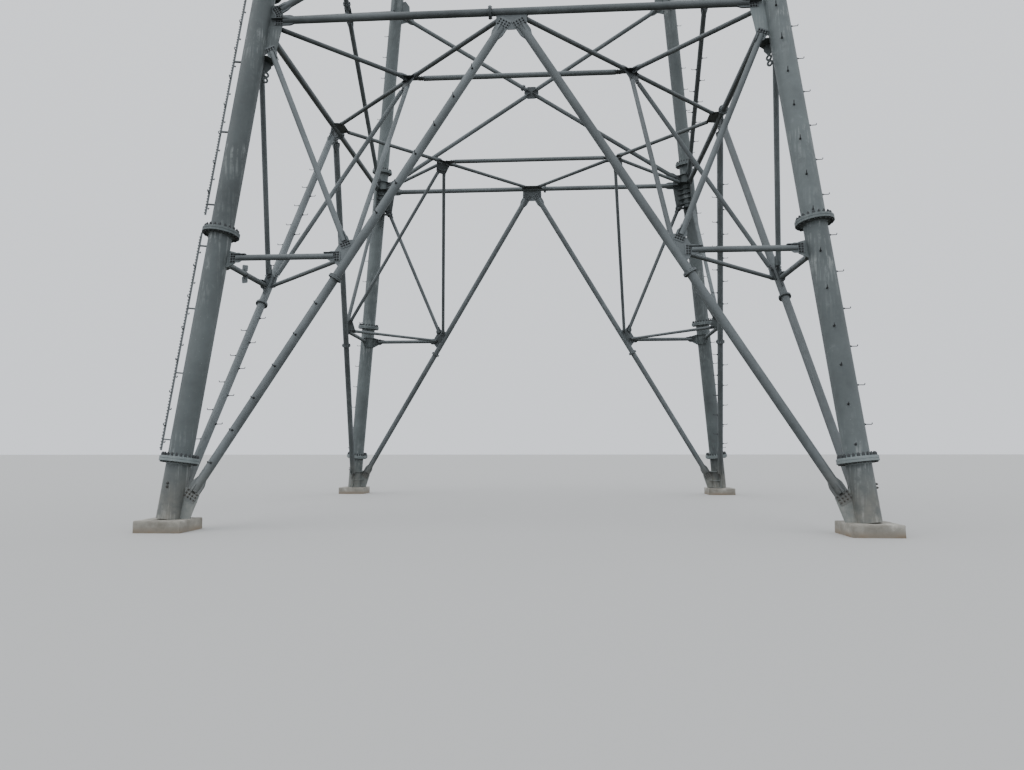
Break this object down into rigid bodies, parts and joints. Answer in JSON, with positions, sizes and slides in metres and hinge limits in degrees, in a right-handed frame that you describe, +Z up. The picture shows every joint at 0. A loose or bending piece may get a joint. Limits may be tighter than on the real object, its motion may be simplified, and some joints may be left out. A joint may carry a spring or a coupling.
{
  "type": "base section of a tubular lattice transmission pylon",
  "caption": "Base of a tubular steel lattice tower: leaning legs on concrete pedestals, bolted flanges, braced faces, a level diaphragm and crossed bracing above it.",
  "frame": {"origin": "on the ground, in the middle of the four feet", "axes": "+Z up, -Y towards the face with the climbing rail on its left leg, X along that face"},
  "size_m": [17.044, 17.044, 22.0602],
  "materials": {
    "leg_steel": "weathered grey-green galvanised coating with pale run marks",
    "brace_steel": "weathered grey galvanised coating, dull",
    "rail_steel": "bright galvanised coating",
    "concrete": "cast concrete, weathered"
  },
  "bodies": {
    "root": {"back_cross_brace": "brace_steel", "back_diagonals": "brace_steel", "back_horizontal": "brace_steel", "climbing_rail_lower": "rail_steel", "climbing_rail_upper": "rail_steel", "foot_back_left": "leg_steel", "foot_back_right": "leg_steel", "foot_front_left": "leg_steel", "foot_front_right": "leg_steel", "front_cross_brace": "brace_steel", "front_diagonals": "brace_steel", "front_horizontal": "brace_steel", "knee_bracing_back_left": "brace_steel", "knee_bracing_back_right": "brace_steel", "knee_bracing_front_left": "brace_steel", "knee_bracing_front_right": "brace_steel", "left_cross_brace": "brace_steel", "left_diagonals": "brace_steel", "left_horizontal": "brace_steel", "lower_leg_back_left": "leg_steel", "lower_leg_back_right": "leg_steel", "lower_leg_front_left": "leg_steel", "lower_leg_front_right": "leg_steel", "middle_leg_back_left": "leg_steel", "middle_leg_back_right": "leg_steel", "middle_leg_front_left": "leg_steel", "middle_leg_front_right": "leg_steel", "pedestal_back_left": "concrete", "pedestal_back_right": "concrete", "pedestal_front_left": "concrete", "pedestal_front_right": "concrete", "plan_bracing_back_left": "brace_steel", "plan_bracing_back_right": "brace_steel", "plan_bracing_front_left": "brace_steel", "plan_bracing_front_right": "brace_steel", "plan_tie_back": "brace_steel", "plan_tie_front": "brace_steel", "right_cross_brace": "brace_steel", "right_diagonals": "brace_steel", "right_horizontal": "brace_steel", "upper_leg_back_left": "leg_steel", "upper_leg_back_right": "leg_steel", "upper_leg_front_left": "leg_steel", "upper_leg_front_right": "leg_steel"}
  },
  "joints": []
}
